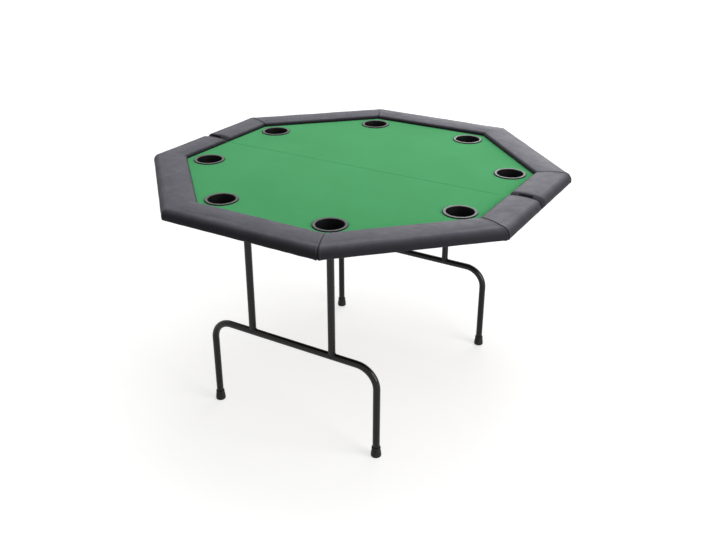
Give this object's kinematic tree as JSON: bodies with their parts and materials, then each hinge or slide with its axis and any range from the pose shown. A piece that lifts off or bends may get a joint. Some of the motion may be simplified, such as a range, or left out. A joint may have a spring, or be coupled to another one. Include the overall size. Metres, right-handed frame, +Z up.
{
  "type": "folding poker table",
  "caption": "Octagonal folding poker table with green felt, padded black rail, drop-in cup holders, a hinged two-part top and fold-under tube leg frames.",
  "frame": {"origin": "on the floor, under the middle of the fold line, with the table open and the legs down", "axes": "+Z up, +X along the fold line to the right, +Y across the fold to the back half"},
  "size_m": [1.22, 1.22, 0.7643],
  "materials": {
    "rail_cover": "satin black faux leather over foam",
    "green_felt": "short-napped green playing felt",
    "fibreboard": "raw medium fibreboard",
    "plywood": "raw plywood",
    "cup_plastic": "moulded black plastic",
    "black_tube": "black powder coat",
    "black_plate_steel": "black powder coat on pressed plate",
    "black_hinge_steel": "black oxide, satin",
    "zinc_steel": "zinc plated",
    "foot_rubber": "moulded black rubber"
  },
  "bodies": {
    "front_half": {"front_board": "fibreboard", "front_cup_holder_1": "cup_plastic", "front_cup_holder_2": "cup_plastic", "front_cup_holder_3": "cup_plastic", "front_cup_holder_4": "cup_plastic", "front_felt": "green_felt", "front_hinge_leaf_one": "black_hinge_steel", "front_hinge_leaf_two": "black_hinge_steel", "front_hinge_screws": "black_hinge_steel", "front_mount_screws": "zinc_steel", "front_rail_core": "plywood", "front_rail_pad": "rail_cover", "front_saddle_one": "black_plate_steel", "front_saddle_two": "black_plate_steel", "front_stay_bracket": "black_plate_steel", "front_stay_bracket_rivet": "zinc_steel", "hinge_pin_left": "black_hinge_steel", "hinge_pin_right": "black_hinge_steel"},
    "back_half": {"back_board": "fibreboard", "back_cup_holder_1": "cup_plastic", "back_cup_holder_2": "cup_plastic", "back_cup_holder_3": "cup_plastic", "back_cup_holder_4": "cup_plastic", "back_felt": "green_felt", "back_hinge_leaf_one": "black_hinge_steel", "back_hinge_leaf_two": "black_hinge_steel", "back_hinge_screws": "black_hinge_steel", "back_mount_screws": "zinc_steel", "back_rail_core": "plywood", "back_rail_pad": "rail_cover", "back_saddle_one": "black_plate_steel", "back_saddle_two": "black_plate_steel", "back_stay_bracket": "black_plate_steel", "back_stay_bracket_rivet": "zinc_steel"},
    "front_leg": {"front_foot_frame": "black_tube", "front_pivot_tube": "black_tube", "front_rubber_foot_one": "foot_rubber", "front_rubber_foot_two": "foot_rubber", "front_stretcher": "black_tube", "front_upright_one": "black_tube", "front_upright_two": "black_tube"},
    "back_leg": {"back_foot_frame": "black_tube", "back_pivot_tube": "black_tube", "back_rubber_foot_one": "foot_rubber", "back_rubber_foot_two": "foot_rubber", "back_stretcher": "black_tube", "back_upright_one": "black_tube", "back_upright_two": "black_tube"},
    "front_stay_upper": {"front_knee_rivet_upper": "zinc_steel", "front_stay_upper_bar": "black_plate_steel"},
    "back_stay_upper": {"back_knee_rivet_upper": "zinc_steel", "back_stay_upper_bar": "black_plate_steel"},
    "front_stay_lower": {"front_knee_rivet_lower": "zinc_steel", "front_stay_lower_bar": "black_plate_steel"},
    "back_stay_lower": {"back_knee_rivet_lower": "zinc_steel", "back_stay_lower_bar": "black_plate_steel"}
  },
  "joints": [
    {"name": "top_fold", "type": "hinge", "parent": "front_half", "child": "back_half", "pos_m": [0, 0, 0.7613], "axis": [1, 0, 0], "range_deg": [0, 180]},
    {"name": "front_leg_fold", "type": "hinge", "parent": "front_half", "child": "front_leg", "pos_m": [0, -0.381, 0.71], "axis": [1, 0, 0], "range_deg": [0, 90]},
    {"name": "back_leg_fold", "type": "hinge", "parent": "back_half", "child": "back_leg", "pos_m": [0, 0.381, 0.684], "axis": [-1, 0, 0], "range_deg": [0, 90]},
    {"name": "front_stay_upper_turn", "type": "hinge", "parent": "front_half", "child": "front_stay_upper", "pos_m": [0, -0.231, 0.7145], "axis": [1, 0, 0], "range_deg": [0, 154.79]},
    {"name": "front_stay_lower_turn", "type": "hinge", "parent": "front_leg", "child": "front_stay_lower", "pos_m": [0, -0.381, 0.632], "axis": [-1, 0, 0], "range_deg": [0, 115.25]},
    {"name": "back_stay_upper_turn", "type": "hinge", "parent": "back_half", "child": "back_stay_upper", "pos_m": [0, 0.231, 0.6885], "axis": [-1, 0, 0], "range_deg": [0, 154.79]},
    {"name": "back_stay_lower_turn", "type": "hinge", "parent": "back_leg", "child": "back_stay_lower", "pos_m": [0, 0.381, 0.606], "axis": [1, 0, 0], "range_deg": [0, 115.25]}
  ],
  "couplings": [
    {"joint": "front_stay_upper_turn", "follows": "front_leg_fold", "ratio": 1.7196},
    {"joint": "front_stay_lower_turn", "follows": "front_leg_fold", "ratio": 1.2804},
    {"joint": "back_stay_upper_turn", "follows": "back_leg_fold", "ratio": 1.7196},
    {"joint": "back_stay_lower_turn", "follows": "back_leg_fold", "ratio": 1.2804}
  ]
}
